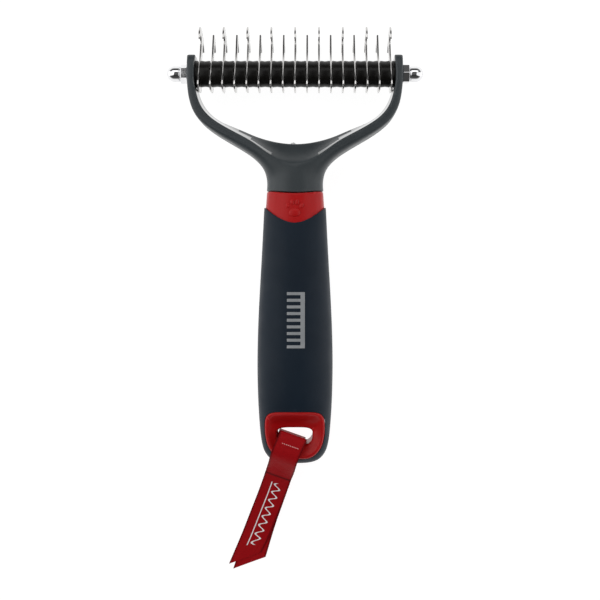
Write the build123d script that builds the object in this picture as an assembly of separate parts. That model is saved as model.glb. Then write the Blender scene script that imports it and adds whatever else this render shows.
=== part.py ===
"""Undercoat rake with a Y-shaped yoke, a row of clamped hook blades and a ribbon tag on its handle.

Millimetres, +Z up. The rake lies on its back with its front face up: +X runs across the head and +Y
towards the blade tips. Every shape is drawn about the centre of the blade shaft and is moved when it is
saved, so that the origin lies on the table under the middle of the whole object.
"""
import math
import os

from build123d import *

# blade stack
blade_count = 17
blade_pitch = 4.9
blade_thickness = 0.7
spacer_radius = 5.4
spacer_waist = 0.25            # how far the middle of a spacer draws in
shaft_radius = 2.0
key_flats = 3.2                # across the two flats that stop the blades turning on the shaft
fit_gap = 0.06                 # radial clearance of blades, spacers and yoke bosses on the shaft
ample = 30.0                   # half the height of cutting blocks, more than any piece is thick

# blade outline, as distances up (Y) and forward (Z) from the shaft
foot_drop = 5.2
foot_reach = 6.5
heel_drop = 7.2
back_tip_height = 12.0
back_tip_reach = 15.4
front_tip_height = 14.3
front_tip_reach = 1.3
double_crest = (20.0, -2.5)
single_crest = (18.0, -8.2)

# yoke
arm_inner = 40.9
arm_outer = 43.8
boss_radius = 7.2
saddle_drop = 29.1             # ridge of the saddle below the shaft
rim_drop = 37.3                # front rim of the thumb scoop below the shaft
rim_depth = 8.8                # half the thickness of the yoke at that rim
ridge_half_width = 0.6         # half the width of the ridge between the two scoops
neck_half_width = 11.45
neck_depth = 9.8
collar_top_drop = 48.4
tang_end_drop = 86.0
tang_width = 13.0
tang_depth = 9.0
socket_gap = 0.1

# dome nuts, a high M4 pattern
nut_flats = 7.0
nut_hex_height = 3.2
nut_chamfer = 0.45
nut_dome_radius = 3.25
nut_height = 8.8
nut_thread_depth = 6.4
shaft_end_gap = 0.3

# handle
collar_side_drop = 55.1
collar_tip_drop = 61.6
collar_step = 0.3              # the sleeve stands proud of the collar
sleeve_wall = 1.8
spine_top_drop = 58.0
spine_end_drop = 142.0
spine_width = 18.0
spine_depth = 13.0
eyelet_top_drop = 136.8
eyelet_end_drop = 156.3
eyelet_half_width = 12.3
eyelet_lip = 0.6               # of the eyelet's rim outside its dish
slot_top_drop = 143.9
slot_end_drop = 151.2
slot_half_width = 7.4
slot_lip_depth = 6.4           # half the thickness of the handle at the lip of the slot
dish_depth = 12.0              # half the thickness at the dish's outer edge

# the handle's outline at stations along its length: drop, half width, half depth
handle_stations = [
    (46.0, 11.7, 9.9),
    (55.0, 12.2, 10.5),
    (64.0, 12.8, 11.3),
    (78.0, 13.8, 12.4),
    (92.0, 14.6, 13.2),
    (106.0, 15.2, 13.8),
    (120.0, 15.4, 14.0),
    (133.0, 15.1, 13.4),
    (143.0, 14.5, 12.0),
    (150.0, 13.7, 10.2),
    (154.5, 12.2, 8.3),
    (157.4, 9.7, 6.0),
    (158.9, 5.6, 3.0),
]

# ribbon
ribbon_width = 10.5
ribbon_thickness = 0.8
ribbon_angle = 19.85           # from the handle's length, seen from above
ribbon_top = (-0.8, -146.3)    # middle of the loop's upper fold
crease_distance = 19.6         # from the upper fold to the crease, along the ribbon
loop_reach = 9.8               # of the loop in front of the shaft's level, and behind it
crease_sink = 5.5              # of the crease below the shaft
tail_length = 42.5
tail_skew = 6.4                # how much shorter the tail is along its other edge
tail_clearance = 0.2           # of the tail's end above the table
tail_gap = 1.1                 # between the loop's end and the tail's start, with the crease between them

stack_half = (blade_count - 1) / 2 * blade_pitch + blade_thickness / 2
spacer_length = blade_pitch - blade_thickness
end_spacer_length = arm_inner - stack_half


def keyed_circle(gap):
    """The shaft's section, enlarged by a gap: a circle with two flats."""
    return Circle(shaft_radius + gap) & Rectangle(2 * shaft_radius + 1, key_flats + 2 * gap)


# ---- blades and spacers ----

def blade_face(double):
    """Side view of a blade: local X is up towards the tips, and local Y is forward."""
    foot = (-foot_drop, foot_reach)
    heel = (-heel_drop, -3.6)
    nape = (back_tip_height - 1.0, -8.9)
    throat = (back_tip_height + 3.0, -11.0)
    back_inner = (back_tip_height + 0.3, -back_tip_reach + 1.3)
    back_end = (back_tip_height - 0.3, -back_tip_reach + 0.4)
    back_outer = (back_tip_height + 0.9, -back_tip_reach)
    with BuildSketch() as sketch:
        with BuildLine():
            if double:
                fork = (14.4, -4.9)
                front_inner = (front_tip_height + 0.4, front_tip_reach - 1.2)
                front_end = (front_tip_height, front_tip_reach - 0.4)
                front_outer = (front_tip_height + 0.8, front_tip_reach)
                Spline(foot, (0, 4.2), (5, -0.2), (10, -3.4), fork)
                Spline(fork, (16.4, -3.3), front_inner)
                ThreePointArc(front_inner, front_end, front_outer)
                Spline(front_outer, (18.0, 0.3), double_crest, (19.5, -7.0), (17.2, -12.0), back_outer)
            else:
                Spline(foot, (0, 4.0), (5, -1.2), (10, -4.9), (15.0, -6.9), single_crest)
                Spline(single_crest, (17.9, -10.6), (16.2, -13.4), back_outer)
            ThreePointArc(back_outer, back_end, back_inner)
            Spline(back_inner, throat, nape)
            Spline(nape, (6, -6.9), (0, -6.4), (-4.5, -5.9), heel)
            Spline(heel, (-heel_drop - 0.2, 0), (-heel_drop + 0.3, 4.0), foot)
        make_face()
    return sketch.sketch - keyed_circle(fit_gap)


def make_blade(index):
    double = index % 2 == 0
    x = (index - (blade_count - 1) / 2) * blade_pitch - blade_thickness / 2
    return extrude(Plane.YZ.offset(x) * blade_face(double), blade_thickness)


def make_spacer(x, length, waist):
    """A ring on the shaft from x to x + length, a little thinner in the middle."""
    with BuildSketch(Plane.XY) as sketch:
        with BuildLine():
            Spline((x, spacer_radius), (x + length / 2, spacer_radius - waist), (x + length, spacer_radius))
            Polyline((x + length, spacer_radius), (x + length, 0), (x, 0), (x, spacer_radius))
        make_face()
    ring = revolve(sketch.sketch, Axis.X)
    bore = extrude(Plane.YZ.offset(x) * keyed_circle(fit_gap), length)
    return ring - bore


# ---- shaft and nuts ----

def make_shaft():
    half = arm_outer + nut_thread_depth - shaft_end_gap
    round_rod = extrude(Plane.YZ.offset(-half) * Circle(shaft_radius), 2 * half)
    flats = extrude(Plane.YZ.offset(-arm_inner) * keyed_circle(0), 2 * arm_inner)
    middle = extrude(Plane.YZ.offset(-arm_inner) * Circle(2 * shaft_radius), 2 * arm_inner)
    shaft = round_rod - middle + flats
    ends = shaft.faces().sort_by(Axis.X)
    return chamfer(ends[0].edges() + ends[-1].edges(), 0.4)


def make_nut(side):
    """Dome nut on the right arm (side 1) or the left (side -1), which sit turned differently."""
    start = arm_outer
    turn = 0 if side > 0 else 30
    hexagon = RegularPolygon(nut_flats / 2, 6, major_radius=False)
    body = extrude(Plane.YZ.offset(start) * Rot(0, 0, 90 + turn) * hexagon, nut_hex_height)
    # chamfered corners: the hexagon inside a cone that just misses its flats
    corner_radius = nut_flats / math.sqrt(3)
    cone = Plane.YZ.offset(start) * Cylinder(
        corner_radius, nut_hex_height, align=(Align.CENTER, Align.CENTER, Align.MIN)
    )
    cone = chamfer(cone.edges().filter_by(GeomType.CIRCLE), nut_chamfer)
    dome_start = start + nut_height - nut_dome_radius
    neck = extrude(Plane.YZ.offset(start) * Circle(nut_dome_radius), dome_start - start)
    ball = Pos(dome_start, 0, 0) * Sphere(nut_dome_radius)
    bore = extrude(Plane.YZ.offset(start) * Circle(shaft_radius + fit_gap), nut_thread_depth)
    nut = (body & cone) + neck + ball - bore
    return nut if side > 0 else mirror(nut, Plane.YZ)


# ---- yoke ----

def yoke_face():
    """Front view of the yoke: its outer outline, and its inner one along the saddle's ridge."""
    outer = [(42.3, -13.2), (37.8, -20.6), (28.4, -27.3), (17.7, -33.9), (12.5, -40.2)]
    inner = [(38.3, -11.0), (30.6, -18.7), (22.1, -23.3), (12.1, -27.3)]
    with BuildSketch() as half:
        with BuildLine():
            Line((0, -collar_top_drop), (neck_half_width, -collar_top_drop))
            Spline(
                (arm_outer, -5.6), *outer, (neck_half_width, -collar_top_drop),
                tangents=[(0, -1), (0, -1)],
            )
            Line((arm_outer, -5.6), (arm_outer, boss_radius))
            Line((arm_outer, boss_radius), (arm_inner, boss_radius))
            Line((arm_inner, boss_radius), (arm_inner, -5.6))
            Spline((arm_inner, -5.6), *inner, (0, -saddle_drop), tangents=[(0, -1), (-1, 0)])
            Line((0, -saddle_drop), (0, -collar_top_drop))
        make_face()
    return half.sketch + mirror(half.sketch, Plane.YZ)


def yoke_side_face():
    """Side view of the yoke: round bosses, straight tapering arms and a neck."""
    with BuildSketch() as sketch:
        with BuildLine():
            ThreePointArc((0, boss_radius), (boss_radius, 0), (0, -boss_radius))
            Spline(
                (0, -boss_radius), (-rim_drop, -rim_depth), (-collar_top_drop, -neck_depth),
                tangents=[(-1, 0), (-1, 0)],
            )
            Line((-collar_top_drop, -neck_depth), (-collar_top_drop, neck_depth))
            Spline(
                (-collar_top_drop, neck_depth), (-rim_drop, rim_depth), (0, boss_radius),
                tangents=[(1, 0), (1, 0)],
            )
        make_face()
    return sketch.sketch


def scoop_face(points, z):
    """The region above a curve across the saddle, on the level z."""
    right = [(x, y) for x, y in points]
    left = [(-x, y) for x, y in reversed(points[:-1])]
    top = -10.0
    with BuildSketch(Plane.XY.offset(z)) as sketch:
        with BuildLine():
            Spline(*right, *left)
            Polyline(left[-1], (left[-1][0], top), (right[0][0], top), right[0])
        make_face()
    return sketch.sketch


def make_yoke():
    front = extrude(yoke_face(), ample, both=True)
    side = extrude(Plane.YZ.offset(-arm_outer) * yoke_side_face(), 2 * arm_outer)
    yoke = front & side
    ridge = [(34.6, -16.3), (28.4, -20.2), (22.1, -23.3), (17.0, -25.6), (12.1, -27.3), (6.0, -28.6),
             (0, -saddle_drop)]
    rim = [(35.4, -17.6), (29.6, -21.8), (23.6, -25.0), (18.0, -27.9), (12.0, -32.2), (6.0, -36.3),
           (0, -rim_drop)]
    front_level = rim_depth + 0.2
    scoop = loft([scoop_face(ridge, ridge_half_width), scoop_face(rim, front_level)])
    scoop += extrude(scoop_face(rim, front_level), neck_depth)
    yoke = yoke - scoop - mirror(scoop, Plane.XY)
    bore = extrude(Plane.YZ.offset(-arm_outer) * Circle(shaft_radius + fit_gap), 2 * arm_outer)
    tang = Pos(0, -(collar_top_drop + tang_end_drop) / 2, 0) * Box(
        tang_width, tang_end_drop - collar_top_drop, tang_depth
    )
    tang = chamfer(tang.edges().filter_by(Axis.Z).group_by(Axis.Y)[0], 1.5)
    return yoke - bore + tang


# ---- handle ----

def handle_section(drop, half_width, half_depth, squareness=2.5):
    """A superellipse across the handle, as a face."""
    steps = 24
    points = []
    for step in range(steps):
        angle = 2 * math.pi * step / steps
        cosine, sine = math.cos(angle), math.sin(angle)
        x = half_width * math.copysign(abs(cosine) ** (2 / squareness), cosine)
        z = half_depth * math.copysign(abs(sine) ** (2 / squareness), sine)
        points.append(Vector(x, -drop, z))
    return make_face(Spline(points, periodic=True).edges())


def handle_loft(shrink, last):
    """The handle's outer shape, made smaller by shrink, from above the collar down to a station."""
    sections = [
        handle_section(drop, width - shrink, depth - shrink)
        for drop, width, depth in handle_stations[:last]
    ]
    return loft(sections)


def above_arch():
    """A block above the curved joint between collar and sleeve."""
    side = -collar_side_drop
    tip = -collar_tip_drop
    with BuildSketch() as sketch:
        with BuildLine():
            Spline((-20, side + 4.5), (-12.3, side), (0, tip), (12.3, side), (20, side + 4.5))
            Polyline((20, side + 4.5), (20, -30), (-20, -30), (-20, side + 4.5))
        make_face()
    return extrude(sketch.sketch, ample, both=True)


def rounded_trapezoid(top_drop, end_drop, half_width, end_share, corner):
    """Front outline of the eyelet or its slot: an arched top, and sides that close in below."""
    end_half = half_width * end_share
    with BuildSketch() as sketch:
        with BuildLine():
            ThreePointArc((-half_width, -top_drop - 1.2), (0, -top_drop), (half_width, -top_drop - 1.2))
            Spline((half_width, -top_drop - 1.2), (half_width * 0.95, -(top_drop + end_drop) / 2 - 1.0),
                   (end_half, -end_drop + 1.2))
            ThreePointArc((end_half, -end_drop + 1.2), (0, -end_drop), (-end_half, -end_drop + 1.2))
            Spline((-end_half, -end_drop + 1.2), (-half_width * 0.95, -(top_drop + end_drop) / 2 - 1.0),
                   (-half_width, -top_drop - 1.2))
        make_face()
        fillet(sketch.vertices(), corner)
    return sketch.sketch


def slot_face():
    return rounded_trapezoid(slot_top_drop, slot_end_drop, slot_half_width, 0.72, 1.6)


def eyelet_face():
    return rounded_trapezoid(eyelet_top_drop, eyelet_end_drop, eyelet_half_width, 0.55, 2.6)


def make_handle():
    """The red core with its collar and eyelet, and the dark sleeve moulded over it."""
    outer = handle_loft(0, len(handle_stations))
    top_cut = Pos(0, -collar_top_drop + 25, 0) * Box(60, 50, 60)
    outer -= top_cut
    collar_outer = handle_loft(collar_step, 3) - top_cut
    collar = collar_outer & above_arch()
    neck = handle_loft(sleeve_wall, 3) - top_cut - above_arch()
    spine = Pos(0, -(spine_top_drop + spine_end_drop) / 2, 0) * Box(
        spine_width, spine_end_drop - spine_top_drop, spine_depth
    )
    eyelet = outer & extrude(eyelet_face(), ample, both=True)
    dish = loft([
        Plane.XY.offset(slot_lip_depth) * slot_face(),
        Plane.XY.offset(dish_depth) * offset(eyelet_face(), -eyelet_lip),
    ])
    eyelet = eyelet - dish - mirror(dish, Plane.XY)
    core = collar + neck + spine + eyelet
    slot = extrude(slot_face(), ample, both=True)
    socket = Pos(0, -(collar_top_drop + tang_end_drop) / 2, 0) * Box(
        tang_width + 2 * socket_gap, tang_end_drop - collar_top_drop + 2, tang_depth + 2 * socket_gap
    )
    sleeve = outer - above_arch() - core - extrude(eyelet_face(), ample, both=True)
    core = core - slot - socket
    sleeve = sleeve - socket
    return core, sleeve


# ---- ribbon ----

def ribbon_plane():
    """Local X runs along the ribbon away from the handle, and local Y is up."""
    angle = math.radians(ribbon_angle)
    along = Vector(-math.sin(angle), -math.cos(angle), 0)
    across = Vector(math.cos(angle), -math.sin(angle), 0)
    return Plane(origin=(*ribbon_top, 0), x_dir=along, z_dir=across * -1)


def make_ribbon_loop():
    """A band that passes through the slot and round the handle's end bar to the crease."""
    end = crease_distance
    corners = [
        (0, -loop_reach + 3), (0, loop_reach - 3), (3.5, loop_reach), (11.5, loop_reach),
        (end, -crease_sink + 0.5), (end, -crease_sink - 0.5), (14, -loop_reach), (3.5, -loop_reach),
    ]
    outer = fillet(make_face(Polyline(*corners, close=True).edges()).vertices(), 0.4)
    inner = offset(outer, -ribbon_thickness, kind=Kind.INTERSECTION)
    return extrude(ribbon_plane() * (outer - inner), ribbon_width / 2, both=True)


def make_ribbon_tail():
    """Both layers of the tail as one plate that slopes down to the table, with its end cut askew."""
    start = crease_distance + tail_gap
    drop = back_tip_reach - crease_sink - tail_clearance - ribbon_thickness
    slope = math.asin(drop / tail_length)
    half = ribbon_width / 2
    with BuildSketch() as sketch:
        with BuildLine():
            Polyline((0, -half), (tail_length, -half), (tail_length - tail_skew, half), (0, half), close=True)
        make_face()
    plane = ribbon_plane()
    frame = Plane(
        origin=plane.from_local_coords((start, -crease_sink, 0)),
        x_dir=plane.x_dir * math.cos(slope) - Vector(0, 0, 1) * math.sin(slope),
        z_dir=plane.x_dir * math.sin(slope) + Vector(0, 0, 1) * math.cos(slope),
    )
    return extrude(frame * sketch.sketch, ribbon_thickness / 2, both=True)


# ---- assembly ----

core, sleeve = make_handle()
pieces = {
    "yoke": make_yoke(),
    "handle_core": core,
    "grip_sleeve": sleeve,
    "blade_shaft": make_shaft(),
    "dome_nut_left": make_nut(-1),
    "dome_nut_right": make_nut(1),
    "end_spacer_left": make_spacer(-arm_inner, end_spacer_length, 0),
    "end_spacer_right": make_spacer(stack_half, end_spacer_length, 0),
    "ribbon_loop": make_ribbon_loop(),
    "ribbon_tail": make_ribbon_tail(),
}
for index in range(blade_count):
    pieces[f"blade_{index + 1:02d}"] = make_blade(index)
for index in range(blade_count - 1):
    start = (index - (blade_count - 1) / 2) * blade_pitch + blade_thickness / 2
    pieces[f"spacer_{index + 1:02d}"] = make_spacer(start, spacer_length, spacer_waist)

# the table lies under the lowest piece, and the origin on it under the middle of the whole object
boxes = [shape.bounding_box() for shape in pieces.values()]
middle_y = (min(box.min.Y for box in boxes) + max(box.max.Y for box in boxes)) / 2
lowest = min(box.min.Z for box in boxes)
print("the blade shaft lies at Y", -middle_y, "and Z", -lowest)
place = Location((0, -middle_y, -lowest))

os.makedirs("parts", exist_ok=True)
for name, shape in pieces.items():
    export_step(place * shape, f"parts/{name}.step")
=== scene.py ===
import math

import bpy
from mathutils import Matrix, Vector


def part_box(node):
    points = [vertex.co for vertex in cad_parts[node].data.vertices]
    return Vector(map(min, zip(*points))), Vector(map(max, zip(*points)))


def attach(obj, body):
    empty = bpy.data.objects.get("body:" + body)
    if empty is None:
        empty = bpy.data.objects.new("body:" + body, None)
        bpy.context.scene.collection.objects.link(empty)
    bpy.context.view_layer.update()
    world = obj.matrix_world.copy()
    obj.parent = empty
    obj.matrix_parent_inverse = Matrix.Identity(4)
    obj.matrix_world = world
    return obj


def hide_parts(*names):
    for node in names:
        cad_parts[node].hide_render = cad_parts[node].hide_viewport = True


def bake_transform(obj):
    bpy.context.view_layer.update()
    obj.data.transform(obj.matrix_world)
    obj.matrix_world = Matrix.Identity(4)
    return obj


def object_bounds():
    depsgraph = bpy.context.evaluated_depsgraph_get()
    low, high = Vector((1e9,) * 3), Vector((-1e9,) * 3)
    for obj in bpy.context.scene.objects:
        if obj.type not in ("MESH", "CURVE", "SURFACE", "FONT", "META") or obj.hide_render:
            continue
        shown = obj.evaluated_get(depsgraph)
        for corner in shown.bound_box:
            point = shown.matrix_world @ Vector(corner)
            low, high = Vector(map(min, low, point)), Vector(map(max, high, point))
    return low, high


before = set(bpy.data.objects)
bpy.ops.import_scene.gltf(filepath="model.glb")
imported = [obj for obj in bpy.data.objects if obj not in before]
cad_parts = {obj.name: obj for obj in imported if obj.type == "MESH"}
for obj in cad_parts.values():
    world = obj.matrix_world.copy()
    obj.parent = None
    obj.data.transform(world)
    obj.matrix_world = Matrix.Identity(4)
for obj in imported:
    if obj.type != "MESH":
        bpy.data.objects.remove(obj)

mm = 0.001
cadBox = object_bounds()
shaftLow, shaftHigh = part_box("blade_shaft")
shaftMiddle = (shaftLow + shaftHigh) / 2


def spot(x, y, z=0.0):
    # millimetres across, towards the blade tips and up, from the middle of the blade shaft
    return shaftMiddle + Vector((x, y, z)) * mm


# The camera looks straight down from above the grip, a little to its right.
view = {
    "standsOver": (8.0, -77.0, 410.0),
    "middle": (2.0, -92.6),                # what is in the middle of the picture
    "lens": 60.0,
    "sensor": 36.0,
}


def setCamera():
    eye = spot(*view["standsOver"])
    bpy.ops.object.camera_add(location=eye, rotation=(0, 0, 0))
    camera = bpy.context.object
    camera.name = "camera"
    camera.data.lens = view["lens"]
    camera.data.sensor_width = view["sensor"]
    across, along, distance = view["standsOver"]
    perMillimetre = view["lens"] / view["sensor"] / distance
    camera.data.shift_x = (view["middle"][0] - across) * perMillimetre
    camera.data.shift_y = (view["middle"][1] - along) * perMillimetre
    bpy.context.scene.camera = camera
    print("camera stands at", [round(value, 4) for value in eye])


studio = {
    "floorSize": 3.0,
    "floorGap": 0.0002,                    # below the lowest point of the rake
    "floorColour": (0.22, 0.22, 0.22, 1.0),
    "floorGlow": 0.93,                     # the floor is a light table
    # brightness of the surroundings, from straight down to straight up
    "surroundings": [(0.0, 0.9), (0.5, 1.0), (0.56, 0.6), (0.66, 0.09), (0.95, 0.035), (1.0, 0.12)],
    # name: place, size across and up, power in watts
    "lamps": {
        "leftSoftbox": ((-0.6, 0.1, 0.5), 0.7, 1.2, 3.6),
        "rightSoftbox": ((0.65, 0.0, 0.5), 0.7, 1.2, 2.8),
        "topStrip": ((0.0, 0.44, 0.53), 0.9, 0.24, 1.0),
    },
}


def setFloor():
    level = cadBox[0][2] - studio["floorGap"]
    bpy.ops.mesh.primitive_plane_add(size=studio["floorSize"], location=(0, 0, level))
    floor = bpy.context.object
    floor.name = "floor"
    material = bpy.data.materials.new("floorLightTable")
    material.use_nodes = True
    shader = material.node_tree.nodes["Principled BSDF"]
    shader.inputs["Base Color"].default_value = studio["floorColour"]
    shader.inputs["Roughness"].default_value = 0.9
    shader.inputs["Specular IOR Level"].default_value = 0.0
    shader.inputs["Emission Color"].default_value = (1.0, 1.0, 1.0, 1.0)
    shader.inputs["Emission Strength"].default_value = studio["floorGlow"]
    floor.data.materials.append(material)


def setSurroundings():
    world = bpy.data.worlds.new("studioWorld")
    bpy.context.scene.world = world
    world.use_nodes = True
    nodes, links = world.node_tree.nodes, world.node_tree.links
    direction = nodes.new("ShaderNodeTexCoord")
    split = nodes.new("ShaderNodeSeparateXYZ")
    height = nodes.new("ShaderNodeMapRange")
    height.inputs["From Min"].default_value = -1.0
    ramp = nodes.new("ShaderNodeValToRGB")
    links.new(direction.outputs["Generated"], split.inputs[0])
    links.new(split.outputs["Z"], height.inputs["Value"])
    links.new(height.outputs["Result"], ramp.inputs["Fac"])
    links.new(ramp.outputs["Color"], nodes["Background"].inputs["Color"])
    setRamp(ramp, [(place, (level, level, level)) for place, level in studio["surroundings"]])


def setLamps():
    for name, (place, across, up, power) in studio["lamps"].items():
        bpy.ops.object.light_add(type="AREA", location=place)
        lamp = bpy.context.object
        lamp.name = name
        lamp.rotation_euler = (-Vector(place)).to_track_quat("-Z", "Y").to_euler()
        lamp.data.shape = "RECTANGLE"
        lamp.data.size = across
        lamp.data.size_y = up
        lamp.data.energy = power


# Small helpers for modelling.
def pickOnly(piece):
    for thing in bpy.context.selected_objects:
        thing.select_set(False)
    piece.select_set(True)
    bpy.context.view_layer.objects.active = piece


def applyModifier(piece, kind, **settings):
    pickOnly(piece)
    modifier = piece.modifiers.new(kind.lower(), kind)
    for setting, value in settings.items():
        setattr(modifier, setting, value)
    bpy.ops.object.modifier_apply(modifier=modifier.name)


def subdivide(piece, levels):
    applyModifier(piece, "SUBSURF", levels=levels, render_levels=levels)


def settle(piece):
    # the object goes to the origin, and its place into its mesh
    pickOnly(piece)
    bpy.ops.object.transform_apply(location=True, rotation=True, scale=True)


def cleanMesh(piece, gap=0.002):
    # closes seams and points all faces outwards
    pickOnly(piece)
    bpy.ops.object.mode_set(mode="EDIT")
    bpy.ops.mesh.select_all(action="SELECT")
    bpy.ops.mesh.remove_doubles(threshold=gap * mm)
    bpy.ops.mesh.normals_make_consistent(inside=False)
    bpy.ops.object.mode_set(mode="OBJECT")


def fillHoles(piece):
    # closes open rims with a face
    pickOnly(piece)
    bpy.ops.object.mode_set(mode="EDIT")
    bpy.ops.mesh.select_mode(type="EDGE")
    bpy.ops.mesh.select_all(action="DESELECT")
    bpy.ops.mesh.select_non_manifold()
    bpy.ops.mesh.edge_face_add()
    bpy.ops.mesh.select_all(action="SELECT")
    bpy.ops.mesh.normals_make_consistent(inside=False)
    bpy.ops.object.mode_set(mode="OBJECT")


def gridPiece(name, rows):
    # a grid whose points are set row by row, in millimetres from the shaft's middle
    across, along = len(rows[0]) - 1, len(rows) - 1
    bpy.ops.mesh.primitive_grid_add(x_subdivisions=across, y_subdivisions=along, size=1, location=(0, 0, 0))
    piece = bpy.context.object
    piece.name = name
    points = [point for row in rows for point in row]
    for vertex, point in zip(piece.data.vertices, points, strict=True):
        vertex.co = spot(*point)
    return piece


def joinPieces(name, pieces):
    pickOnly(pieces[0])
    for piece in pieces[1:]:
        piece.select_set(True)
    bpy.ops.object.join()
    pieces[0].name = name
    settle(pieces[0])
    return pieces[0]


def smooth(piece, angle=40):
    pickOnly(piece)
    bpy.ops.object.shade_smooth_by_angle(angle=math.radians(angle))


def finishPiece(piece, material, slot, *nodes):
    # a piece that already holds the material keeps its own list
    if material.name not in piece.data.materials:
        piece.data.materials.clear()
        piece.data.materials.append(material)
    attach(piece, "rake")
    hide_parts(*nodes)


def between(stations, place):
    # a smooth curve through stations (place, value, value ...), by place
    last = len(stations) - 1
    index = 0
    while index < last - 1 and place > stations[index + 1][0]:
        index += 1
    first, second = stations[index], stations[index + 1]
    before, after = stations[max(index - 1, 0)], stations[min(index + 2, last)]
    step = second[0] - first[0]
    t = min(max((place - first[0]) / step, 0.0), 1.0)
    result = []
    for k in range(1, len(first)):
        startSlope = (second[k] - before[k]) / (second[0] - before[0]) * step
        endSlope = (after[k] - first[k]) / (after[0] - first[0]) * step
        result.append(
            first[k] * (2 * t**3 - 3 * t**2 + 1)
            + second[k] * (3 * t**2 - 2 * t**3)
            + startSlope * (t**3 - 2 * t**2 + t)
            + endSlope * (t**3 - t**2)
        )
    return result


# Small helpers for materials.
def setRamp(ramp, stops):
    elements = ramp.color_ramp.elements
    while len(elements) < len(stops):
        elements.new(1.0)
    for element, (place, colour) in zip(elements, stops):
        element.position = place
        element.color = (*colour, 1.0)


def newMaterial(name, roughness, metallic=0.0, **sockets):
    material = bpy.data.materials.new(name)
    material.use_nodes = True
    shader = material.node_tree.nodes["Principled BSDF"]
    shader.inputs["Roughness"].default_value = roughness
    shader.inputs["Metallic"].default_value = metallic
    for socket, value in sockets.items():
        shader.inputs[socket.replace("_", " ")].default_value = value
    return material, material.node_tree, shader


def addNoise(tree, scale, detail=3.0, stretch=(1, 1, 1), source="Object"):
    coordinates = tree.nodes.new("ShaderNodeTexCoord")
    mapping = tree.nodes.new("ShaderNodeMapping")
    mapping.inputs["Scale"].default_value = stretch
    noise = tree.nodes.new("ShaderNodeTexNoise")
    noise.inputs["Scale"].default_value = scale
    noise.inputs["Detail"].default_value = detail
    tree.links.new(coordinates.outputs[source], mapping.inputs["Vector"])
    tree.links.new(mapping.outputs["Vector"], noise.inputs["Vector"])
    return noise.outputs["Fac"]


def addRamp(tree, fac, stops):
    ramp = tree.nodes.new("ShaderNodeValToRGB")
    setRamp(ramp, stops)
    tree.links.new(fac, ramp.inputs["Fac"])
    return ramp.outputs["Color"]


def addRange(tree, fac, low, high, fromLow=0.3, fromHigh=0.7):
    span = tree.nodes.new("ShaderNodeMapRange")
    for socket, value in zip(("From Min", "From Max", "To Min", "To Max"), (fromLow, fromHigh, low, high)):
        span.inputs[socket].default_value = value
    tree.links.new(fac, span.inputs["Value"])
    return span.outputs["Result"]


def addMath(tree, operation, first, second=0.5):
    node = tree.nodes.new("ShaderNodeMath")
    node.operation = operation
    for socket, value in zip(node.inputs, (first, second)):
        if isinstance(value, (int, float)):
            socket.default_value = value
        else:
            tree.links.new(value, socket)
    return node.outputs[0]


def addMix(tree, fac, first, second):
    node = tree.nodes.new("ShaderNodeMix")
    node.data_type = "RGBA"
    tree.links.new(fac, node.inputs["Factor"])
    for socket, value in ((node.inputs[6], first), (node.inputs[7], second)):
        if isinstance(value, tuple):
            socket.default_value = (*value, 1.0)
        else:
            tree.links.new(value, socket)
    return node.outputs[2]


def addBump(tree, shader, height, strength, distance):
    bump = tree.nodes.new("ShaderNodeBump")
    bump.inputs["Strength"].default_value = strength
    bump.inputs["Distance"].default_value = distance * mm
    tree.links.new(height, bump.inputs["Height"])
    earlier = shader.inputs["Normal"].links
    if earlier:
        tree.links.new(earlier[0].from_socket, bump.inputs["Normal"])
    tree.links.new(bump.outputs["Normal"], shader.inputs["Normal"])


plasticFinish = {
    "cloudScale": 60.0,
    "scuffScale": 900.0,
    "smearScale": 140.0,
    "edgeWearAndHighlight": (0.515, 0.6),                # how sharp an edge is where the paler edge colour, part wear and part painted highlight, begins and is full
    "grainStrength": 0.35,
}


def mouldedPlastic(name, dark, light, edge, roughness, grain, grainDepth, gloss=0.5, **sockets):
    # two close colours in soft clouds, paler edges that are partly wear and partly a painted highlight, and
    # a fine grain
    material, tree, shader = newMaterial(name, roughness, Specular_IOR_Level=gloss, **sockets)
    clouds = addNoise(tree, plasticFinish["cloudScale"])
    body = addRamp(tree, clouds, [(0.35, dark), (0.65, light)])
    geometry = tree.nodes.new("ShaderNodeNewGeometry")
    edgeWearAndHighlight = addRange(tree, geometry.outputs["Pointiness"], 0.0, 1.0, *plasticFinish["edgeWearAndHighlight"])
    scuffs = addRange(tree, addNoise(tree, plasticFinish["scuffScale"]), 0.35, 1.0)
    # sharp edges take the paler edge colour: a painted highlight along the edges, broken up like wear
    colour = addMix(tree, addMath(tree, "MULTIPLY", edgeWearAndHighlight, scuffs), body, edge)
    tree.links.new(colour, shader.inputs["Base Color"])
    smears = addNoise(tree, plasticFinish["smearScale"])
    tree.links.new(addRange(tree, smears, roughness - 0.04, roughness + 0.05), shader.inputs["Roughness"])
    addBump(tree, shader, addNoise(tree, grain, 2.0), plasticFinish["grainStrength"], grainDepth)
    return material


steelFinish = {
    "stainScale": 180.0,
    "lineStrength": 0.12,
    "lineDepth": 0.02,
}


def turnedSteel(name, dark, light, roughness, scale, stretch):
    # bright metal with fine lines along one way, and small stains
    material, tree, shader = newMaterial(name, roughness, metallic=1.0)
    lines = addNoise(tree, scale, 2.0, stretch)
    stains = addNoise(tree, steelFinish["stainScale"])
    tree.links.new(addRamp(tree, stains, [(0.35, dark), (0.65, light)]), shader.inputs["Base Color"])
    tree.links.new(addRange(tree, lines, roughness * 0.7, roughness * 1.4), shader.inputs["Roughness"])
    addBump(tree, shader, lines, steelFinish["lineStrength"], steelFinish["lineDepth"])
    return material


bpy.context.scene.view_settings.view_transform = "Standard"
setCamera()
setFloor()
setSurroundings()
setLamps()
print("studio set")

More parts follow.
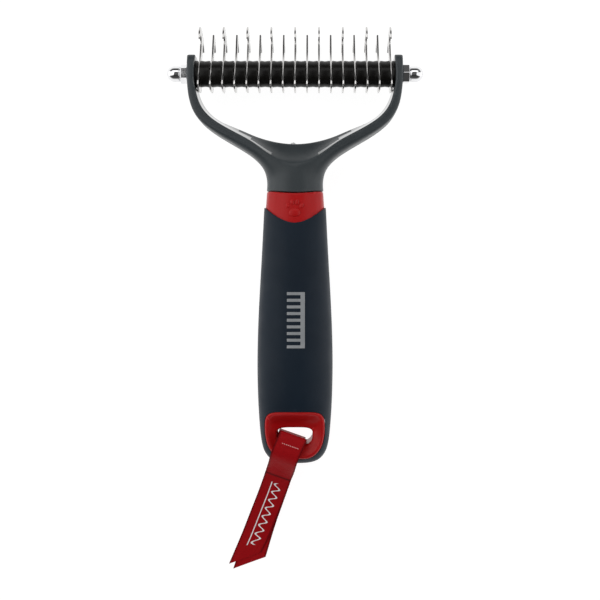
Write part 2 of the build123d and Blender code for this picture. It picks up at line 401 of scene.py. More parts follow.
# Yoke: two arms, a saddle with a thumb scoop in front and behind, and a neck.
yoke = {
    # (outer edge), (ridge of the inner side), (rim of the front face), half depth, edge radius, oval share
    "stations": [
        ((43.7, 7.3), (40.45, 7.3), (40.45, 7.3), 4.4, 0.9, 0.0),
        ((43.8, 6.8), (40.35, 6.8), (40.35, 6.8), 5.6, 1.1, 0.0),
        ((43.8, 5.2), (40.4, 5.2), (40.4, 5.2), 6.8, 1.1, 0.0),
        ((43.8, 1.6), (40.7, 1.6), (40.7, 1.6), 7.2, 1.1, 0.0),
        ((43.8, -3.2), (40.5, -3.2), (40.85, -3.3), 7.25, 1.1, 0.0),
        ((43.4, -8.3), (39.45, -7.7), (40.0, -8.0), 7.35, 1.15, 0.0),
        ((42.35, -13.6), (37.85, -12.5), (38.5, -13.6), 7.5, 1.1, 0.0),
        ((39.75, -18.9), (34.3, -17.1), (35.0, -18.1), 7.7, 1.3, 0.0),
        ((34.55, -23.4), (28.95, -20.5), (29.9, -21.6), 7.9, 1.6, 0.0),
        ((28.4, -27.2), (22.5, -22.8), (23.6, -25.0), 8.1, 2.0, 0.05),
        ((22.35, -30.7), (17.0, -25.35), (18.0, -27.9), 8.35, 2.4, 0.12),
        ((17.6, -33.8), (12.4, -26.9), (13.6, -31.2), 8.6, 2.8, 0.25),
        ((14.2, -37.0), (8.6, -27.8), (9.6, -34.2), 8.8, 3.2, 0.4),
        ((12.15, -40.2), (4.6, -28.5), (5.2, -36.5), 9.2, 3.6, 0.65),
        ((11.5, -43.9), (0.0, -28.75), (0.0, -37.3), 9.5, 4.0, 0.85),
    ],
    # outer edge, middle of the front, half depth and how far the edge hangs lower in front
    "neck": [
        ((11.5, -45.6), -41.5, 9.65, 0.0),
        ((11.6, -47.3), -46.1, 9.75, 0.5),
        ((11.65, -48.0), -48.0, 9.8, 0.9),
        ((11.65, -48.2), -48.2, 9.8, 1.0),
    ],
    "neckRadius": 4.0,
    "ovalPower": 2.5,
    "ovalDegrees": (0, 14, 30, 47, 62, 74, 83, 90),  # where each column of the front lies on the oval
    # from the rim to the ridge of the inner side: share of the way, share of the half depth
    "innerWall": [(0.16, 0.78), (0.55, 0.36), (1.0, 0.09), (1.0, 0.0)],
    "armRimEdge": 0.6,
    "scoopRimEdge": 0.2,
    "scoopStation": 10,                    # the first station that belongs to the scoop
    "gateMark": (-0.8, -28.55, 0.2),       # the nub where the mould was filled
    "gateSize": (0.95, 0.5, 0.6),
    # polished inner walls: first column, row where they have thinned to a line, last row
    "polished": (7, 11, 12),
}


def frontColumns(outer, rim, depth, radius, oval, edge):
    # points from the outer side at half depth, over the outer edge and across the front to the rim
    outer, rim = Vector(outer), Vector(rim)
    width = (rim - outer).length
    corner = radius * (1 - math.sqrt(0.5))
    square = [(0, 0), (0, (depth - radius) * 0.55), (0, depth - radius), (corner, depth - corner),
              (radius, depth), ((radius + width - edge) / 2, depth), (width - edge, depth),
              (width, depth - edge * 0.6)]
    points = []
    for (along, up), degrees in zip(square, yoke["ovalDegrees"]):
        angle = math.radians(degrees)
        ovalAlong = width * (1 - max(math.cos(angle), 0.0) ** (2 / yoke["ovalPower"]))
        ovalUp = depth * math.sin(angle) ** (2 / yoke["ovalPower"])
        along += (ovalAlong - along) * oval
        up += (ovalUp - up) * oval
        x, y = outer + (rim - outer) * (along / width)
        points.append((x, y, up))
    return points


def makeYoke():
    rows = []
    firstColumn, lineRow, lastRow = yoke["polished"]
    for index, (outer, ridge, rim, depth, radius, oval) in enumerate(yoke["stations"]):
        edge = yoke["armRimEdge"] if index < yoke["scoopStation"] else yoke["scoopRimEdge"]
        row = frontColumns(outer, rim, depth, radius, oval, edge)
        for share, level in yoke["innerWall"]:
            x, y = Vector(rim) + (Vector(ridge) - Vector(rim)) * share
            row.append((x, y, depth * level))
        rows.append(row)
    for outer, middle, depth, sag in yoke["neck"]:
        row = frontColumns(outer, (0.0, middle), depth, yoke["neckRadius"], 1.0, yoke["scoopRimEdge"])
        row = [(x, y - sag * (z / depth) ** 2 * (1 - (x / outer[0]) ** 2), z) for x, y, z in row]
        rows.append(row + [row[-1]] * len(yoke["innerWall"]))
    piece = gridPiece("yoke_body", rows)
    piece.data.materials.append(yokePlastic)
    piece.data.materials.append(yokePolish)
    columns = len(rows[0])
    for face in piece.data.polygons:
        row = max(index // columns for index in face.vertices)
        column = min(index % columns for index in face.vertices)
        face.material_index = int(row <= lastRow and 0 <= column - firstColumn <= max(lineRow - row, 0))
    cleanMesh(piece)
    # faces that lie in the plane of symmetry go
    bpy.ops.object.mode_set(mode="EDIT")
    bpy.ops.mesh.select_mode(type="FACE")
    bpy.ops.mesh.select_all(action="DESELECT")
    bpy.ops.object.mode_set(mode="OBJECT")
    middle = spot(0, 0).x
    for face in piece.data.polygons:
        xs = [abs(piece.data.vertices[index].co.x - middle) for index in face.vertices]
        face.select = max(xs) < 0.01 * mm
    bpy.ops.object.mode_set(mode="EDIT")
    bpy.ops.mesh.delete(type="FACE")
    bpy.ops.object.mode_set(mode="OBJECT")
    bpy.context.scene.cursor.location = spot(0, 0)
    bpy.ops.object.origin_set(type="ORIGIN_CURSOR")
    applyModifier(piece, "MIRROR", use_axis=(True, False, True), merge_threshold=0.01 * mm)
    settle(piece)
    fillHoles(piece)
    subdivide(piece, 2)
    x, y, z = yoke["gateMark"]
    bpy.ops.mesh.primitive_uv_sphere_add(segments=24, ring_count=14, radius=mm, location=spot(x, y, z))
    nub = bpy.context.object
    nub.scale = yoke["gateSize"]
    settle(nub)
    joined = joinPieces("yoke_body", [piece, nub])
    smooth(joined, 60)
    return joined


# the third colour, on sharp edges, is mostly a painted highlight along the yoke's edges
yokePlastic = mouldedPlastic(
    "yokePlastic", (0.029, 0.037, 0.042), (0.036, 0.045, 0.050), (0.13, 0.135, 0.135),
    roughness=0.4, grain=2600.0, grainDepth=0.02, gloss=0.42,
)
yokePolish = mouldedPlastic(
    "yokePolish", (0.026, 0.030, 0.032), (0.031, 0.036, 0.038), (0.085, 0.09, 0.092),
    roughness=0.1, grain=2600.0, grainDepth=0.01, gloss=1.0, Coat_Weight=1.0, Coat_Roughness=0.06,
)
finishPiece(makeYoke(), yokePlastic, "yoke_plastic", "yoke")
print("yoke made")

# Handle: one outline for the grip, the collar and the eyelet.
handle = {
    # drop below the shaft, half width, half depth
    "stations": [
        (46.0, 11.8, 9.9), (55.0, 12.2, 10.5), (64.0, 12.8, 11.3), (78.0, 13.8, 12.4), (92.0, 14.6, 13.2),
        (106.0, 15.2, 13.8), (120.0, 15.4, 14.0), (133.0, 15.1, 13.4), (143.0, 14.5, 12.0),
        (150.0, 13.75, 10.2), (154.5, 12.55, 8.3), (157.3, 10.5, 6.0), (158.9, 6.6, 3.0), (159.2, 4.0, 1.4),
    ],
    "power": 2.5,
    "columns": 72,
    # the joint between collar and grip
    "archSides": -54.8,
    "archTip": -61.3,
    "archWidth": 12.3,
    "archPower": 1.75,
    # rounded upper edge of the grip: how far in, how far down
    "sleeveEdge": [(0.8, 0.35), (0.3, 0.0), (0.08, 0.05), (0.0, 0.35)],
    "sleeveStart": 1.5,                    # below the joint
    "sleeveLevel": 80.0,                   # drop where the rings no longer follow the joint
    "sleeveFade": 1.4,
    "sleeveEnd": 157.4,
    "sleeveRows": 36,
    "sleeveTipDrops": [158.3, 158.9, 159.15],
    # the collar stands a step lower than the grip, and is tucked under it
    "collarStep": 0.35,
    "collarTuck": 1.2,
    "collarLength": 11.0,
    "collarTop": -48.45,
    "collarSag": 1.0,
    "collarEdge": [(1.6, 0.1), (0.5, 0.0), (0.12, 0.08), (0.0, 0.4)],
    "collarShares": [0.12, 0.3, 0.5, 0.7, 0.85, 0.93],
    "collarClose": 0.9,
}


def archAt(x):
    # how far along the handle the joint between collar and grip lies
    rise = handle["archSides"] - handle["archTip"]
    return handle["archTip"] + rise * min(abs(x) / handle["archWidth"], 1.0) ** handle["archPower"]


def handleRing(drop, shrink=0.0):
    # a closed ring of points round the handle, as (across, up)
    halfWidth, halfDepth = between(handle["stations"], drop)
    ring = []
    for step in range(handle["columns"] + 1):
        angle = 2 * math.pi * step / handle["columns"]
        cosine, sine = math.cos(angle), math.sin(angle)
        share = 2 / handle["power"]
        x = (halfWidth - shrink) * math.copysign(abs(cosine) ** share, cosine)
        z = (halfDepth - shrink) * math.copysign(abs(sine) ** share, sine)
        ring.append((x, z))
    return ring


def handleHeight(x, y):
    # the level of the handle's front surface
    halfWidth, halfDepth = between(handle["stations"], -y)
    share = min(abs(x) / halfWidth, 1.0)
    return halfDepth * (1 - share ** handle["power"]) ** (1 / handle["power"])


# Eyelet: a dished red frame round the hanging slot.
eyelet = {
    # top, bottom, half width at the top, at the middle and at the bottom, corner radius
    "outer": (-136.7, -156.7, 12.2, 12.1, 8.0, 3.4),
    "slot": (-143.9, -151.2, 7.4, 7.1, 5.3, 1.9),
    "closeIn": 1.6,                        # how late the sides close in below
    "lipLevel": 6.4,
    # outer edge of the frame: growth of the outline, lift above the grip
    "rimProfile": [(0.0, -2.5), (0.0, -0.45), (-0.12, -0.08), (-0.4, 0.08), (-0.8, 0.0)],
    "rimInside": (-1.3, -0.35),
    # dished face: share of the way to the lip, share of the fall
    "dish": [(0.25, 0.36), (0.5, 0.66), (0.75, 0.88), (1.0, 1.0)],
    "dishEnd": (1.0, 0.25),                # growth of the slot, height above the lip
    "lipProfile": [(0.4, 0.0), (0.08, -0.35), (0.0, -0.9)],
    "wallShare": 0.4,
    "fit": 0.12,                           # gap round the frame
    "cutter": (-20.0, 20.0),
    "points": 96,
}


def eyeletOutline(top, bottom, topHalf, middleHalf, bottomHalf, corner, grow=0.0):
    # a closed outline with an arched top and bottom and sides that close in below
    half = (top - bottom) / 2
    ring = []
    for step in range(eyelet["points"] + 1):
        angle = 2 * math.pi * step / eyelet["points"]
        cosine, sine = math.cos(angle), math.sin(angle)
        power = 2 / (2 + half / corner)
        across = math.copysign(abs(cosine) ** power, cosine)
        up = math.copysign(abs(sine) ** power, sine)
        upper, lower = max(up, 0.0), max(-up, 0.0)
        width = middleHalf + (topHalf - middleHalf) * upper
        width += (bottomHalf - middleHalf) * lower ** eyelet["closeIn"]
        y = (top + bottom) / 2 + up * (half + grow)
        ring.append((across * (width + grow), y))
    return ring


def makeEyelet():
    outer, slot, lip = eyelet["outer"], eyelet["slot"], eyelet["lipLevel"]
    front = []
    for grow, lift in [*eyelet["rimProfile"], eyelet["rimInside"]]:
        front.append([(x, y, handleHeight(x, y) + lift) for x, y in eyeletOutline(*outer, grow=grow)])
    rimGrow, rimLift = eyelet["rimInside"]
    edgeGrow, edgeLift = eyelet["dishEnd"]
    rim = eyeletOutline(*outer, grow=rimGrow)
    edge = eyeletOutline(*slot, grow=edgeGrow)
    for share, fall in eyelet["dish"]:
        row = []
        for (rimX, rimY), (edgeX, edgeY) in zip(rim, edge):
            x, y = rimX + (edgeX - rimX) * share, rimY + (edgeY - rimY) * share
            start = handleHeight(rimX, rimY) + rimLift
            row.append((x, y, start + (lip + edgeLift - start) * fall))
        front.append(row)
    for grow, lift in eyelet["lipProfile"]:
        front.append([(x, y, lip + lift) for x, y in eyeletOutline(*slot, grow=grow)])
    front.append([(x, y, lip * eyelet["wallShare"]) for x, y in eyeletOutline(*slot)])
    # the back is the same, turned over
    back = [[(x, y, -z) for x, y, z in row] for row in reversed(front)]
    rows = front + back + [front[0]]
    piece = gridPiece("eyelet_frame", rows)
    cleanMesh(piece)
    subdivide(piece, 1)
    smooth(piece, 60)
    return piece


def makeGrip():
    tip = -handle["archTip"]
    rows = []
    for shrink, lower in handle["sleeveEdge"]:
        rows.append([(x, archAt(x) - lower, z) for x, z in handleRing(tip, shrink)])
    start, level, count = tip + handle["sleeveStart"], handle["sleeveLevel"], handle["sleeveRows"]
    drops = [start + (handle["sleeveEnd"] - start) * step / count for step in range(count + 1)]
    for drop in drops + handle["sleeveTipDrops"]:
        share = min(max((level - drop) / (level - start), 0.0), 1.0) ** handle["sleeveFade"]
        ring = handleRing(drop)
        rows.append([(x, -drop + share * (archAt(x) - handle["archTip"]), z) for x, z in ring])
    piece = gridPiece("grip_shell", rows)
    cleanMesh(piece)
    fillHoles(piece)
    subdivide(piece, 1)
    # the opening for the eyelet goes right through
    outline = eyeletOutline(*eyelet["outer"], grow=eyelet["fit"])
    cutter = gridPiece("eyeletCutter", [[(x, y, z) for x, y in outline] for z in eyelet["cutter"]])
    cleanMesh(cutter)
    fillHoles(cutter)
    applyModifier(piece, "BOOLEAN", object=cutter, operation="DIFFERENCE", solver="EXACT")
    bpy.data.objects.remove(cutter)
    smooth(piece, 45)
    return piece


def makeCollar():
    rows = []
    top, step, tuck = handle["collarTop"], handle["collarStep"], handle["collarTuck"]
    halfWidth, halfDepth = between(handle["stations"], -top)
    for shrink, lower in handle["collarEdge"]:
        row = []
        for x, z in handleRing(-top, step + shrink):
            sag = handle["collarSag"] * (z / halfDepth) ** 2 * (1 - (x / halfWidth) ** 2)
            row.append((x, top - lower - sag, z))
        rows.append(row)
    first = rows[-1]
    for share in handle["collarShares"]:
        ring = handleRing(-top + handle["collarLength"] * share, step)
        rows.append([(x, y + (archAt(x) - tuck - y) * share, z) for (x, z), (_, y, _) in zip(ring, first)])
    # the lower end, closed in under the grip
    last, close = rows[-1], handle["collarClose"]
    rows.append([(x, archAt(x) - tuck, z) for x, _, z in last])
    rows.append([(x * close, archAt(x) - tuck, z * close) for x, _, z in last])
    piece = gridPiece("collar_band", rows)
    cleanMesh(piece)
    fillHoles(piece)
    subdivide(piece, 1)
    smooth(piece, 60)
    return piece


# Raised paw on the collar: four toes and a pad.
paw = {
    # across, along, half width, half length, turn in degrees
    "pads": [(-2.75, -54.5, 0.75, 1.05, 25), (-1.0, -53.1, 0.8, 1.15, 8), (1.0, -53.1, 0.8, 1.15, -8),
             (2.75, -54.5, 0.75, 1.05, -25), (0.0, -57.3, 2.2, 1.7, 0)],
    "height": 0.42,
}


def makePaw():
    pads = []
    for x, y, halfWidth, halfLength, turn in paw["pads"]:
        place = spot(x, y, handleHeight(x, y) - handle["collarStep"])
        bpy.ops.mesh.primitive_uv_sphere_add(segments=28, ring_count=14, radius=mm, location=place)
        pad = bpy.context.object
        pad.scale = (halfWidth, halfLength, paw["height"])
        pad.rotation_euler = (0, 0, math.radians(turn))
        settle(pad)
        pads.append(pad)
    piece = joinPieces("collar_paw", pads)
    smooth(piece, 60)
    return piece


# Printed mark on the grip: a small comb.
comb = {
    "back": (2.4, 4.1),                    # its back, across
    "ends": (-89.0, -111.2),               # along
    "teeth": 9,
    "toothEnd": -3.0,
    "toothWidth": 1.15,
    "lift": 0.03,
    "thickness": 0.12,
    "patchRows": 12,
    "patchColumns": 6,
}


def printPatch(name, xs, ys):
    # a thin patch that follows the grip's surface
    rowCount, columnCount = comb["patchRows"], comb["patchColumns"]
    rows = []
    for step in range(rowCount + 1):
        y = ys[0] + (ys[1] - ys[0]) * step / rowCount
        row = []
        for stop in range(columnCount + 1):
            x = xs[0] + (xs[1] - xs[0]) * stop / columnCount
            row.append((x, y, handleHeight(x, y) + comb["lift"]))
        rows.append(row)
    piece = gridPiece(name, rows)
    applyModifier(piece, "SOLIDIFY", thickness=comb["thickness"] * mm, offset=0.0)
    return piece


def makeComb():
    (low, high), (top, bottom) = comb["back"], comb["ends"]
    patches = [printPatch("combBack", (low, high), (top, bottom))]
    spacing = (top - bottom - comb["toothWidth"]) / (comb["teeth"] - 1)
    # each tooth runs a little way under the back
    for index in range(comb["teeth"]):
        y = top - index * spacing
        patches.append(printPatch("combTooth", (comb["toothEnd"], low + 0.1), (y, y - comb["toothWidth"])))
    piece = joinPieces("grip_mark", patches)
    cleanMesh(piece)
    smooth(piece, 30)
    return piece


gripRubber = mouldedPlastic(
    "gripRubber", (0.0036, 0.0108, 0.0215), (0.0048, 0.0132, 0.0250), (0.018, 0.03, 0.044),
    roughness=0.5, grain=3400.0, grainDepth=0.03, gloss=0.22,
)
redPlastic = mouldedPlastic(
    "redPlastic", (0.43, 0.005, 0.006), (0.48, 0.008, 0.009), (0.62, 0.05, 0.05),
    roughness=0.32, grain=2400.0, grainDepth=0.012, gloss=0.2,
)
markInk = mouldedPlastic(
    "markInk", (0.27, 0.285, 0.3), (0.33, 0.345, 0.36), (0.36, 0.37, 0.38),
    roughness=0.5, grain=3000.0, grainDepth=0.02,
)
finishPiece(makeGrip(), gripRubber, "grip_rubber", "grip_sleeve")
finishPiece(makeComb(), markInk, "grip_rubber")
finishPiece(makeCollar(), redPlastic, "red_plastic", "handle_core")
finishPiece(makePaw(), redPlastic, "red_plastic")
finishPiece(makeEyelet(), redPlastic, "red_plastic", "handle_core")
print("handle made")

# Blades, spacers, shaft and nuts.
blades = {"count": 17, "thickness": 0.7, "pitch": 4.9, "edge": 0.14}
spacers = {"radius": 5.4, "bore": 2.1, "waist": 0.22, "edge": 0.4, "armInner": 40.9}
nuts = {
    "start": 43.8,                         # outer side of the arms
    "flats": 7.0,
    "hexHeight": 3.2,
    "edge": 0.35,
    "bevel": 0.14,
    "domeRadius": 3.25,
    # where the dome meets the hexagon: from the hexagon's face, from the radius
    "domeFoot": [(-0.3, -0.5), (0.0, -0.45), (0.25, -0.1), (0.5, 0.0)],
    "domeSteps": 12,
    "height": 8.8,
}


def makeBlade(name):
    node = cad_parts[name]
    piece = bpy.data.objects.new(name + "_polished", node.data.copy())
    bpy.context.scene.collection.objects.link(piece)
    cleanMesh(piece, 0.01)
    bpy.ops.object.mode_set(mode="EDIT")
    bpy.ops.mesh.select_all(action="SELECT")
    bpy.ops.mesh.dissolve_limited(angle_limit=math.radians(3))
    bpy.ops.object.mode_set(mode="OBJECT")
    applyModifier(piece, "BEVEL", width=blades["edge"] * mm, segments=3, limit_method="ANGLE",
                  angle_limit=math.radians(50))
    smooth(piece, 35)
    return piece


def turnedRows(profile, columns=48, turn=0.0):
    # rings round the shaft's line, from points (along the shaft, radius)
    angles = [math.radians(turn) + 2 * math.pi * step / columns for step in range(columns + 1)]
    rows = []
    for x, radius in profile:
        rows.append([(x, radius * math.cos(angle), radius * math.sin(angle)) for angle in angles])
    return rows


def makeSpacer(name, start, length, waist):
    radius, bore, edge = spacers["radius"], spacers["bore"], spacers["edge"]
    corner = edge * (1 - math.sqrt(0.5))
    end = start + length
    profile = [
        (start, bore), (start, radius - edge), (start + corner, radius - corner), (start + edge, radius),
        (start + length / 2, radius - waist),
        (end - edge, radius), (end - corner, radius - corner), (end, radius - edge), (end, bore),
        (start, bore),
    ]
    piece = gridPiece(name, turnedRows(profile))
    cleanMesh(piece)
    smooth(piece, 50)
    return piece


def makeNut(name, side):
    # the left nut has a flat in front, and the right one a corner
    turn = 0.0 if side < 0 else 30.0
    start, edge, foot = nuts["start"], nuts["edge"], nuts["start"] + nuts["hexHeight"]
    corner = nuts["flats"] / math.sqrt(3)
    profile = [
        (start, corner - edge), (start + edge, corner),
        (foot - edge, corner), (foot, corner - edge * 1.6),
    ]
    hexagon = gridPiece("hexagon", turnedRows([(side * x, r) for x, r in profile], 6, turn))
    cleanMesh(hexagon)
    fillHoles(hexagon)
    applyModifier(hexagon, "BEVEL", width=nuts["bevel"] * mm, segments=2, limit_method="ANGLE")
    smooth(hexagon, 8)
    radius, end = nuts["domeRadius"], start + nuts["height"]
    profile = [(foot + x, radius + r) for x, r in nuts["domeFoot"]]
    for step in range(nuts["domeSteps"] + 1):
        angle = math.radians(90) * step / nuts["domeSteps"]
        profile.append((end - radius + radius * math.sin(angle), radius * math.cos(angle)))
    dome = gridPiece("dome", turnedRows([(side * x, r) for x, r in profile]))
    cleanMesh(dome)
    fillHoles(dome)
    smooth(dome, 40)
    return joinPieces(name, [hexagon, dome])


bladeSteel = turnedSteel("bladeSteel", (0.52, 0.51, 0.50), (0.64, 0.63, 0.62), 0.14, 900.0, (1, 0.15, 0.15))
nutChrome = turnedSteel("nutChrome", (0.78, 0.78, 0.79), (0.86, 0.86, 0.87), 0.07, 1400.0, (1, 1, 1))
shaftSteel = turnedSteel("shaftSteel", (0.4, 0.4, 0.4), (0.5, 0.5, 0.5), 0.3, 1200.0, (1, 0.2, 0.2))
spacerPlastic = mouldedPlastic(
    "spacerPlastic", (0.004, 0.0036, 0.0032), (0.0062, 0.0056, 0.005), (0.02, 0.018, 0.016),
    roughness=0.3, grain=2200.0, grainDepth=0.015, gloss=0.2,
)

for index in range(blades["count"]):
    name = f"blade_{index + 1:02d}"
    finishPiece(makeBlade(name), bladeSteel, "blade_steel", name)
half = (blades["count"] - 1) / 2
gap = blades["pitch"] - blades["thickness"]
for index in range(blades["count"] - 1):
    start = (index - half) * blades["pitch"] + blades["thickness"] / 2
    name = f"spacer_{index + 1:02d}"
    ring = makeSpacer(name + "_ring", start, gap, spacers["waist"])
    finishPiece(ring, spacerPlastic, "spacer_plastic", name)
stackEnd = half * blades["pitch"] + blades["thickness"] / 2
endLength = spacers["armInner"] - stackEnd
for name, start in (("end_spacer_left", -spacers["armInner"]), ("end_spacer_right", stackEnd)):
    ring = makeSpacer(name + "_ring", start, endLength, 0.0)
    finishPiece(ring, spacerPlastic, "spacer_plastic", name)
for name, side in (("dome_nut_left", -1), ("dome_nut_right", 1)):
    finishPiece(makeNut(name + "_chrome", side), nutChrome, "nut_chrome", name)
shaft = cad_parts["blade_shaft"]
shaft.data.materials.clear()
shaft.data.materials.append(shaftSteel)
print("blades, spacers and nuts made")

# Ribbon: one strip of satin, doubled through the slot, creased near the handle's end and laid on the table.
ribbon = {
    "top": (-0.45, -146.4),                # middle of the fold at the slot
    "angle": 19.6,
    "width": 11.3,
    "thickness": 0.28,
    # distance from the fold along the ribbon, level, sideways drift, share of the skewed cut
    "path": [
        # the front layer, from the tail's end up over the handle
        (64.8, -15.0, -0.95, 1.0), (58.0, -14.9, -0.55, 0.6), (50.0, -14.6, -0.1, 0.2),
        (40.0, -12.9, 0.15, 0.0), (30.0, -9.7, 0.35, 0.0), (23.5, -6.7, 0.3, 0.0),
        (20.6, -5.15, 0.2, 0.0), (18.6, -3.1, 0.2, 0.0), (15.2, 2.6, 0.0, 0.0),
        (12.0, 7.3, -0.35, 0.0), (8.5, 9.6, -0.5, 0.0), (4.5, 9.9, -0.3, 0.0),
        # the fold, and down through the slot
        (1.4, 9.5, 0.0, 0.0), (0.1, 8.4, 0.0, 0.0), (1.3, 4.0, 0.0, 0.0), (2.0, 0.0, 0.0, 0.0),
        (2.1, -4.0, 0.0, 0.0), (2.2, -8.0, 0.0, 0.0), (3.6, -9.6, 0.0, 0.0),
        # the back layer, behind the handle and out along the tail
        (8.5, -10.1, 0.0, 0.0), (14.0, -8.9, 0.1, 0.0), (18.6, -6.7, 0.2, 0.0),
        (20.7, -6.0, 0.25, 0.0), (23.7, -7.5, 0.35, 0.0), (30.0, -10.3, 0.5, 0.0),
        (40.0, -13.6, 0.65, 0.0), (50.0, -15.1, 1.0, 0.2), (59.0, -15.2, 1.3, 0.6),
        (66.2, -15.2, 1.45, 1.0),
    ],
    "skew": 9.3,
    "rowsPerPoint": 7,
    "columns": 12,
    "crown": 0.14,                         # how far each layer bows outwards
    "frontPoints": 14,                     # points of the path before this one are in front
    "slotPoints": (12.5, 17.5),            # between these it lies flat in the slot
    "creasePoint": 6,                      # the point of the path where the front layer is creased
    "creaseHalf": 1.5,
    "creaseLevel": -5.5,
    "stitches": 9,
    "stitchPlace": 4.4,
    "stitchFrom": -3.0,
    "stitchTo": 3.4,
    "stitchLevel": 10.2,
    "stitchSize": (0.33, 0.17, 0.16),
    "stitchTurn": 28,
}


def ribbonPoint(distance, sideways, level):
    angle = math.radians(ribbon["angle"])
    x, y = ribbon["top"]
    return (
        x - math.sin(angle) * distance + math.cos(angle) * sideways,
        y - math.cos(angle) * distance - math.sin(angle) * sideways,
        level,
    )


def ribbonRow(place):
    numbered = [(index, *point) for index, point in enumerate(ribbon["path"])]
    distance, level, drift, cut = between(numbered, place)
    slotStart, slotEnd = ribbon["slotPoints"]
    row = []
    for step in range(ribbon["columns"] + 1):
        share = step / ribbon["columns"]
        sideways = (share - 0.5) * ribbon["width"] + drift
        crown = ribbon["crown"] * math.cos((share - 0.5) * math.pi)
        if slotStart < place < slotEnd:
            crown = 0.0
        elif place >= ribbon["frontPoints"]:
            crown = -crown
        row.append(ribbonPoint(distance - share * ribbon["skew"] * cut, sideways, level + crown))
    return row


def makeRibbon():
    last = len(ribbon["path"]) - 1
    count = last * ribbon["rowsPerPoint"]
    rows = [ribbonRow(last * step / count) for step in range(count + 1)]
    piece = gridPiece("ribbon_satin", rows)
    middle = ribbon["columns"] // 2
    travelled = [0.0]
    for before, after in zip(rows, rows[1:]):
        travelled.append(travelled[-1] + (Vector(after[middle]) - Vector(before[middle])).length)
    # the strip's own coordinates run by its length, so that the weave isn't stretched
    layer = piece.data.uv_layers.active
    for loop in piece.data.loops:
        row, column = divmod(loop.vertex_index, ribbon["columns"] + 1)
        layer.data[loop.index].uv = (column / ribbon["columns"] * ribbon["width"] * mm, travelled[row] * mm)
    applyModifier(piece, "SOLIDIFY", thickness=ribbon["thickness"] * mm, offset=0.0)
    smooth(piece, 50)
    print("ribbon length", round(travelled[-1], 1), "mm")
    return piece, travelled[-1], travelled[ribbon["creasePoint"] * ribbon["rowsPerPoint"]]


def makeStitches():
    stitches = []
    count = ribbon["stitches"]
    for index in range(count):
        sideways = ribbon["stitchFrom"] + (ribbon["stitchTo"] - ribbon["stitchFrom"]) * index / (count - 1)
        place = spot(*ribbonPoint(ribbon["stitchPlace"], sideways, ribbon["stitchLevel"]))
        bpy.ops.mesh.primitive_uv_sphere_add(segments=14, ring_count=8, radius=mm, location=place)
        stitch = bpy.context.object
        stitch.scale = ribbon["stitchSize"]
        stitch.rotation_euler = (0, 0, math.radians(-ribbon["angle"] - ribbon["stitchTurn"]))
        settle(stitch)
        stitches.append(stitch)
    piece = joinPieces("ribbon_stitches", stitches)
    smooth(piece, 60)
    return piece


# Satin of the ribbon, in millimetres across and along the strip.
satin = {
    "weftPitch": 0.42,
    "warpPitch": 0.3,
    "weaveBump": (0.5, 0.03),              # strength, depth
    "threadStretch": (1500.0, 9000.0, 1.0),
    "roughness": (0.36, 0.5),
    "dentScale": 160.0,
    "dentBump": (0.4, 0.25),
    "selvedge": (4.7, 5.4),                # from the middle
    "creaseShadeFade": (0.1, 0.8),
    "patternFrom": (6.0, 6.4),
    "patternTo": (37.4, 37.8),
    "wavePitch": 4.2,
    "waveHeight": 1.3,
    "waveMiddle": 1.1,
    "waveEdge": (0.34, 0.46),              # half width of the thread, sharp to soft
    "linePlace": -1.6,
    "lineEdge": (0.16, 0.26),
    "dark": (0.31, 0.003, 0.006),
    "light": (0.43, 0.008, 0.011),
    "selvedgeColour": (0.16, 0.003, 0.005),
    # painted shade along the front crease
    "creaseShadeColour": (0.05, 0.001, 0.002),
    "patternColour": (0.95, 0.92, 0.92),
}


def addFade(tree, distance, limits, low, high):
    # low to high as a distance passes between two limits in millimetres
    return addRange(tree, distance, low, high, limits[0] * mm, limits[1] * mm)


def addDistance(tree, place, middle):
    # how far a place is from a middle in millimetres
    return addMath(tree, "ABSOLUTE", addMath(tree, "SUBTRACT", place, middle * mm))


def addWave(tree, place, pitch):
    return addMath(tree, "SINE", addMath(tree, "MULTIPLY", place, 2 * math.pi / (pitch * mm)))


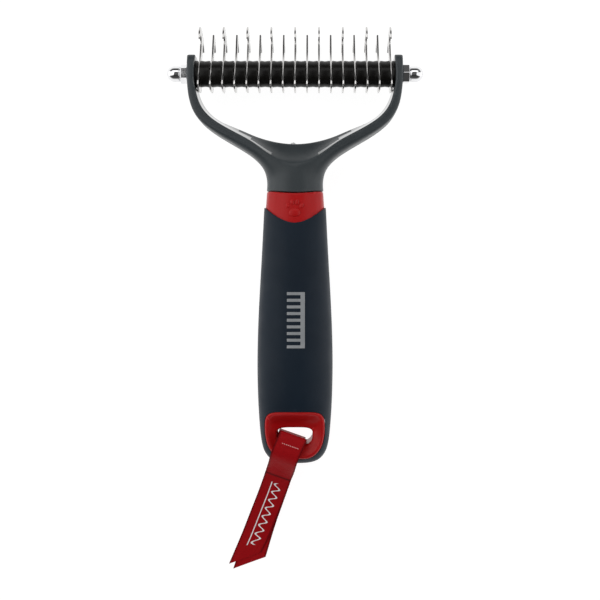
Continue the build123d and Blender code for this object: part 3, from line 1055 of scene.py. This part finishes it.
def addPattern(tree, sideways, along):
    # a woven wave with a line beside it, on the tail's front
    wave = addMath(tree, "MULTIPLY", addWave(tree, along, satin["wavePitch"]), satin["waveHeight"] * mm)
    waveGap = addDistance(tree, addMath(tree, "SUBTRACT", sideways, wave), satin["waveMiddle"])
    lineGap = addDistance(tree, sideways, satin["linePlace"])
    waveInk = addFade(tree, waveGap, satin["waveEdge"], 1.0, 0.0)
    lineInk = addFade(tree, lineGap, satin["lineEdge"], 1.0, 0.0)
    started = addFade(tree, along, satin["patternFrom"], 0.0, 1.0)
    ended = addFade(tree, along, satin["patternTo"], 1.0, 0.0)
    ink = addMath(tree, "MAXIMUM", waveInk, lineInk)
    return addMath(tree, "MULTIPLY", ink, addMath(tree, "MULTIPLY", started, ended))


def satinMaterial(creaseAt):
    material, tree, shader = newMaterial("ribbonSatin", 0.42, Specular_IOR_Level=0.06)
    uv = tree.nodes.new("ShaderNodeUVMap")
    split = tree.nodes.new("ShaderNodeSeparateXYZ")
    tree.links.new(uv.outputs["UV"], split.inputs[0])
    across, along = split.outputs["X"], split.outputs["Y"]
    sideways = addMath(tree, "SUBTRACT", across, ribbon["width"] * mm / 2)
    # the weave: floats across the strip, and a fine rib along it
    weft, warp = addWave(tree, along, satin["weftPitch"]), addWave(tree, across, satin["warpPitch"])
    weave = addMath(tree, "MULTIPLY", weft, warp)
    threads = addNoise(tree, 1.0, 3.0, satin["threadStretch"], source="UV")
    cloth = addRamp(tree, threads, [(0.3, satin["dark"]), (0.7, satin["light"])])
    # the selvedges are darker, and a dark line of painted shade lies along the pressed crease in front
    selvedge = addFade(tree, addDistance(tree, sideways, 0.0), satin["selvedge"], 0.0, 1.0)
    cloth = addMix(tree, selvedge, cloth, satin["selvedgeColour"])
    # painted shade: a dark band along the crease of the front layer
    creaseShade = addFade(tree, addDistance(tree, along, creaseAt), satin["creaseShadeFade"], 0.75, 0.0)
    cloth = addMix(tree, creaseShade, cloth, satin["creaseShadeColour"])
    cloth = addMix(tree, addPattern(tree, sideways, along), cloth, satin["patternColour"])
    tree.links.new(cloth, shader.inputs["Base Color"])
    tree.links.new(addRange(tree, threads, *satin["roughness"]), shader.inputs["Roughness"])
    # the weave, and soft dents from handling
    addBump(tree, shader, weave, *satin["weaveBump"])
    addBump(tree, shader, addNoise(tree, satin["dentScale"]), *satin["dentBump"])
    return material


ribbonPiece, ribbonLength, creaseAt = makeRibbon()
ribbonPiece.data.materials.append(satinMaterial(creaseAt))
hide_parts("ribbon_loop", "ribbon_tail")
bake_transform(ribbonPiece)
stitchThread = mouldedPlastic(
    "stitchThread", (0.75, 0.28, 0.27), (0.85, 0.38, 0.36), (0.9, 0.5, 0.5),
    roughness=0.5, grain=4000.0, grainDepth=0.03,
)
finishPiece(makeStitches(), stitchThread, "ribbon_satin")
print("ribbon made")
